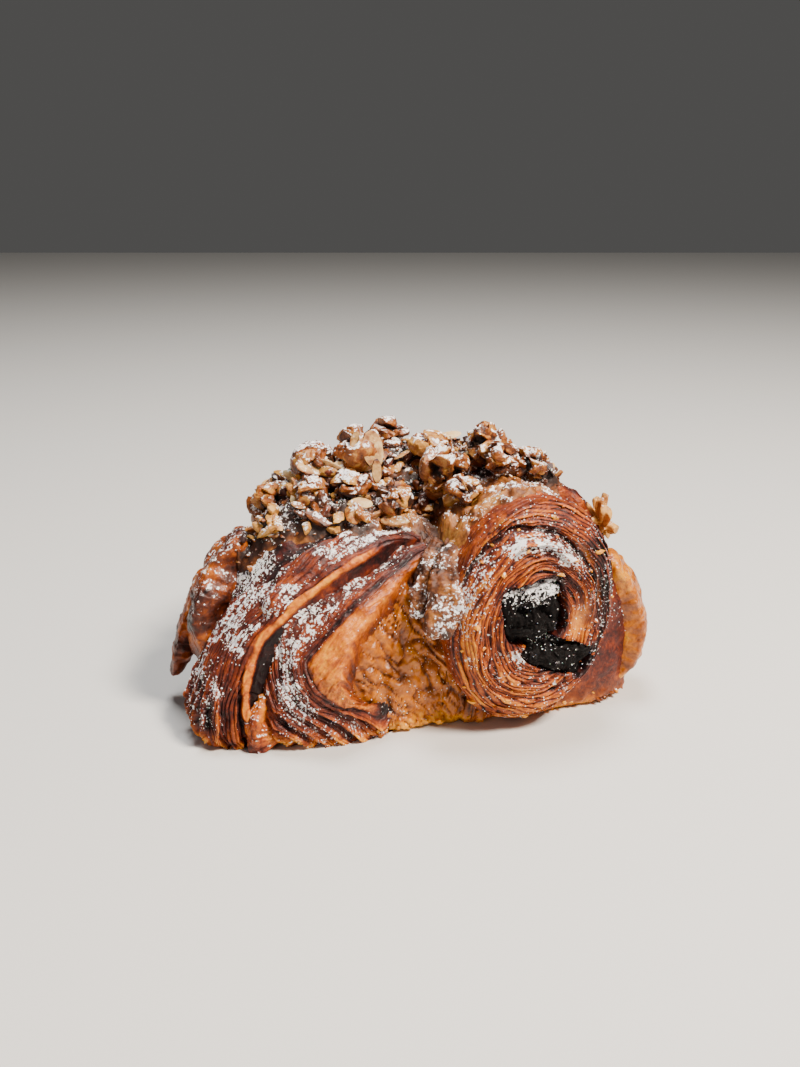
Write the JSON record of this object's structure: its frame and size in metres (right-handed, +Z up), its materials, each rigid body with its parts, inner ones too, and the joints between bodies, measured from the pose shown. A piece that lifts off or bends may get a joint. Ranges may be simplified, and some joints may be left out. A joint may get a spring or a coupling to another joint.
{
  "type": "hazelnut croissant",
  "caption": "Double-baked croissant rolled round chocolate sticks, with a frangipane cap, chopped caramelised hazelnuts and icing sugar.",
  "frame": {"origin": "centre of the footprint of the box round the croissant, on the surface it rests on", "axes": "+Z up, -Y towards the side with the rolled end and the folds, +X to the right when that side is faced"},
  "size_m": [0.1162, 0.0852, 0.0648],
  "materials": {
    "crust": "baked laminated dough, satin, browner on its edges",
    "chocolate": "baked dark chocolate, dull and granular",
    "frangipane": "baked nut cream, bubbly and slightly glassy",
    "hazelnut": "roasted and caramelised nuts dusted with icing sugar"
  },
  "bodies": {
    "root": {"chocolate_lower": "chocolate", "chocolate_upper": "chocolate", "dough": "crust", "frangipane_and_nuts": "frangipane", "hanging_crumb": "frangipane", "nut_cluster_1": "hazelnut", "nut_cluster_10": "hazelnut", "nut_cluster_11": "hazelnut", "nut_cluster_12": "hazelnut", "nut_cluster_13": "hazelnut", "nut_cluster_14": "hazelnut", "nut_cluster_15": "hazelnut", "nut_cluster_16": "hazelnut", "nut_cluster_2": "hazelnut", "nut_cluster_3": "hazelnut", "nut_cluster_4": "hazelnut", "nut_cluster_5": "hazelnut", "nut_cluster_6": "hazelnut", "nut_cluster_7": "hazelnut", "nut_cluster_8": "hazelnut", "nut_cluster_9": "hazelnut"}
  },
  "joints": []
}
